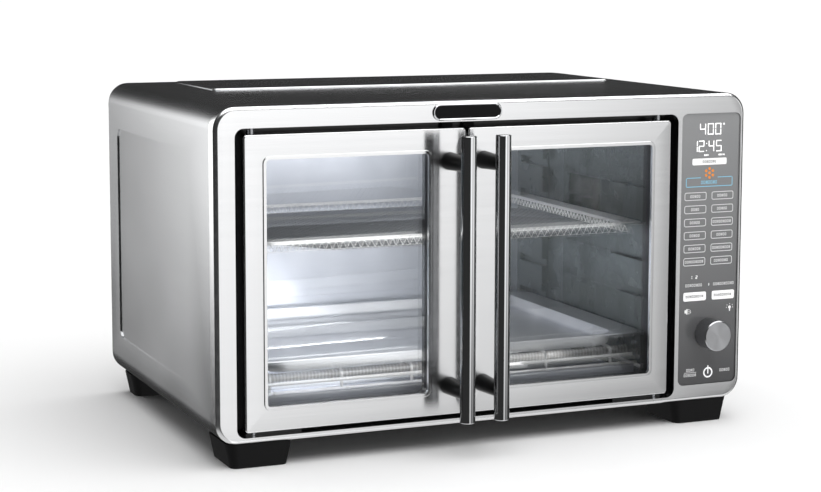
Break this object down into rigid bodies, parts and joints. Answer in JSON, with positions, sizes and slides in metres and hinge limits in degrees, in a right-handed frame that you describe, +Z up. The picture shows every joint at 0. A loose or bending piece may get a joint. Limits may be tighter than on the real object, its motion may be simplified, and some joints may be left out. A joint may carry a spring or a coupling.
{
  "type": "toaster oven",
  "caption": "Countertop toaster oven with coupled French doors, tube handles, side control panel, knob, pan, basket, rack and crumb tray.",
  "frame": {"origin": "middle of the whole object's box, on the surface that the feet stand on", "axes": "+X to the right for someone facing the oven, -Y out of the front, +Z up"},
  "size_m": [0.45, 0.346, 0.2712],
  "materials": {
    "cover_steel": "satin grey lacquered steel",
    "brushed_steel": "horizontally brushed stainless",
    "black_enamel": "satin black enamel",
    "polished_steel": "polished stainless tube",
    "chrome_trim": "bright chrome",
    "black_plastic": "moulded matte",
    "panel_gloss": "gloss panel with printed keys",
    "window_glass": "clear tempered glass",
    "silicone": "silicone seal",
    "steel_pin": "zinc plated",
    "knob_metal": "spun brushed aluminium",
    "cavity_steel": "aluminised sheet",
    "quartz": "frosted quartz tube",
    "ceramic_white": "steatite ceramic",
    "fan_steel": "pressed sheet",
    "motor_steel": "laminated steel",
    "rack_chrome": "chromed wire",
    "pan_steel": "bright baking tin",
    "board_green": "circuit board",
    "bulb_glass": "clear bulb"
  },
  "bodies": {
    "case": {"outer_cover": "cover_steel", "front_bezel": "brushed_steel", "base_plate": "black_enamel", "feet": "black_plastic", "foot_screws": "steel_pin", "back_panel": "black_enamel", "back_panel_screws": "steel_pin", "cord_inlet": "black_plastic", "badge_rim": "chrome_trim", "badge_plate": "black_plastic", "recess_frame": "black_enamel", "hinge_brackets": "steel_pin", "door_magnets": "black_plastic", "cavity_shell": "cavity_steel", "left_side_wall": "cavity_steel", "right_side_wall": "cavity_steel", "heater_tubes": "quartz", "heater_insulators": "ceramic_white", "fan_housing": "cavity_steel", "fan_motor": "motor_steel", "lamp_lens": "window_glass", "lamp_bulb": "bulb_glass", "lamp_socket": "ceramic_white", "temperature_probe": "steel_pin", "control_panel": "panel_gloss", "panel_carrier": "black_plastic", "display_module": "black_plastic", "control_board": "board_green", "encoder_body": "black_plastic", "power_board": "board_green", "board_standoffs": "black_plastic"},
    "left_door": {"left_door_skin": "brushed_steel", "left_door_glass": "window_glass", "left_inner_panel": "black_enamel", "left_gasket": "silicone", "left_handle_bar": "polished_steel", "left_handle_posts": "black_plastic", "left_handle_screws": "steel_pin", "left_hinge_pins": "steel_pin", "left_crank": "steel_pin"},
    "right_door": {"right_door_skin": "brushed_steel", "right_door_glass": "window_glass", "right_inner_panel": "black_enamel", "right_gasket": "silicone", "right_handle_bar": "polished_steel", "right_handle_posts": "black_plastic", "right_handle_screws": "steel_pin", "right_hinge_pins": "steel_pin", "right_crank": "steel_pin"},
    "door_link": {"link_rod": "steel_pin"},
    "control_knob": {"knob": "knob_metal", "knob_shaft": "steel_pin"},
    "convection_fan": {"fan_wheel": "fan_steel", "fan_shaft": "steel_pin", "cooling_fan": "fan_steel"},
    "pan": {"baking_pan": "pan_steel"},
    "basket": {"air_fry_basket": "rack_chrome"},
    "rack": {"oven_rack": "rack_chrome"},
    "tray": {"crumb_tray": "cavity_steel"}
  },
  "joints": [
    {"name": "left_door_hinge", "type": "hinge", "parent": "case", "child": "left_door", "pos_m": [-0.194, -0.1235, 0.139], "axis": [0, 0, -1], "range_deg": [0, 105]},
    {"name": "right_door_hinge", "type": "hinge", "parent": "case", "child": "right_door", "pos_m": [0.148, -0.1235, 0.139], "axis": [0, 0, 1], "range_deg": [0, 105]},
    {"name": "link_pivot", "type": "hinge", "parent": "left_door", "child": "door_link", "pos_m": [-0.19797, -0.12046, 0.261], "axis": [0, 0, 1], "range_deg": [0, 105]},
    {"name": "knob_turn", "type": "hinge", "parent": "case", "child": "control_knob", "pos_m": [0.195, -0.133, 0.0741], "axis": [0, -1, 0], "continuous": true},
    {"name": "fan_spin", "type": "hinge", "parent": "case", "child": "convection_fan", "pos_m": [0.1563, -0.009, 0.076], "axis": [1, 0, 0], "continuous": true},
    {"name": "pan_slide", "type": "slide", "parent": "case", "child": "pan", "axis": [0, -1, 0], "range_m": [0, 0.006]},
    {"name": "basket_slide", "type": "slide", "parent": "case", "child": "basket", "axis": [0, -1, 0], "range_m": [0, 0.006]},
    {"name": "rack_slide", "type": "slide", "parent": "case", "child": "rack", "axis": [0, -1, 0], "range_m": [0, 0.006]},
    {"name": "tray_slide", "type": "slide", "parent": "case", "child": "tray", "axis": [0, -1, 0], "range_m": [0, 0.006]}
  ],
  "couplings": [
    {"joint": "right_door_hinge", "follows": "left_door_hinge", "ratio": 1},
    {"joint": "link_pivot", "follows": "left_door_hinge", "ratio": 1}
  ]
}
